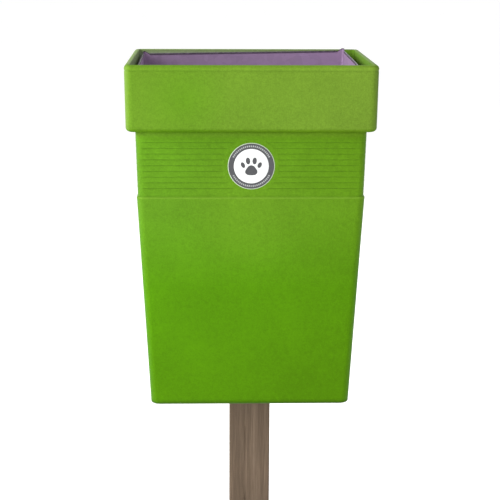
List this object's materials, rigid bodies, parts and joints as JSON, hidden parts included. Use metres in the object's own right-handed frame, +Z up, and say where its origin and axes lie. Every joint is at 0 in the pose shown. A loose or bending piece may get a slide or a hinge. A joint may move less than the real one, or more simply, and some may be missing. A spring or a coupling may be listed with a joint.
{
  "type": "post-mounted dog waste bin",
  "caption": "Open-top dog waste bin: tapered green plastic shell with an overhanging collar, a lift-out sheet-steel liner and a square timber post.",
  "frame": {"origin": "centre of the post's foot, on the ground line", "axes": "+Z up the post, -Y the way the bin faces, +X to the right of a person facing the bin"},
  "size_m": [0.3998, 0.3979, 1.065],
  "materials": {
    "shell_plastic": "semi-gloss lime green polyethylene, fine moulded texture",
    "label_vinyl": "white vinyl, satin",
    "label_ink": "dark grey screen ink",
    "liner_sheet": "galvanised sheet with a mauve-grey spangle",
    "handle_wire": "zinc plated wire",
    "rivet_metal": "dull",
    "galvanised_bracket": "hot-dip galvanised, dull",
    "zinc_fasteners": "zinc plated",
    "post_timber": "weathered grey-brown sawn softwood"
  },
  "bodies": {
    "root": {"timber_post": "post_timber", "upper_post_bracket": "galvanised_bracket", "lower_post_bracket": "galvanised_bracket", "coach_screws": "zinc_fasteners", "coach_screw_washers": "zinc_fasteners", "upper_backing_strap": "galvanised_bracket", "lower_backing_strap": "galvanised_bracket", "shell_bolts": "zinc_fasteners", "shell_bolt_washers": "zinc_fasteners", "shell_bolt_nuts": "zinc_fasteners", "shell": "shell_plastic", "label_disc": "label_vinyl", "label_print": "label_ink"},
    "liner": {"liner_wrap": "liner_sheet", "liner_base": "liner_sheet", "liner_rivets": "rivet_metal", "left_handle_clip": "liner_sheet", "right_handle_clip": "liner_sheet", "handle_clip_rivets": "rivet_metal"},
    "left_handle": {"left_handle": "handle_wire"},
    "right_handle": {"right_handle": "handle_wire"}
  },
  "joints": [
    {"name": "liner_lift", "type": "slide", "parent": "root", "child": "liner", "axis": [0, 0, 1], "range_m": [0, 0.6]},
    {"name": "left_handle_hinge", "type": "hinge", "parent": "liner", "child": "left_handle", "pos_m": [-0.18148, -0.1995, 1.023], "axis": [0, -1, 0], "range_deg": [0, 180]},
    {"name": "right_handle_hinge", "type": "hinge", "parent": "liner", "child": "right_handle", "pos_m": [0.15348, -0.1995, 1.023], "axis": [0, 1, 0], "range_deg": [0, 180]}
  ]
}
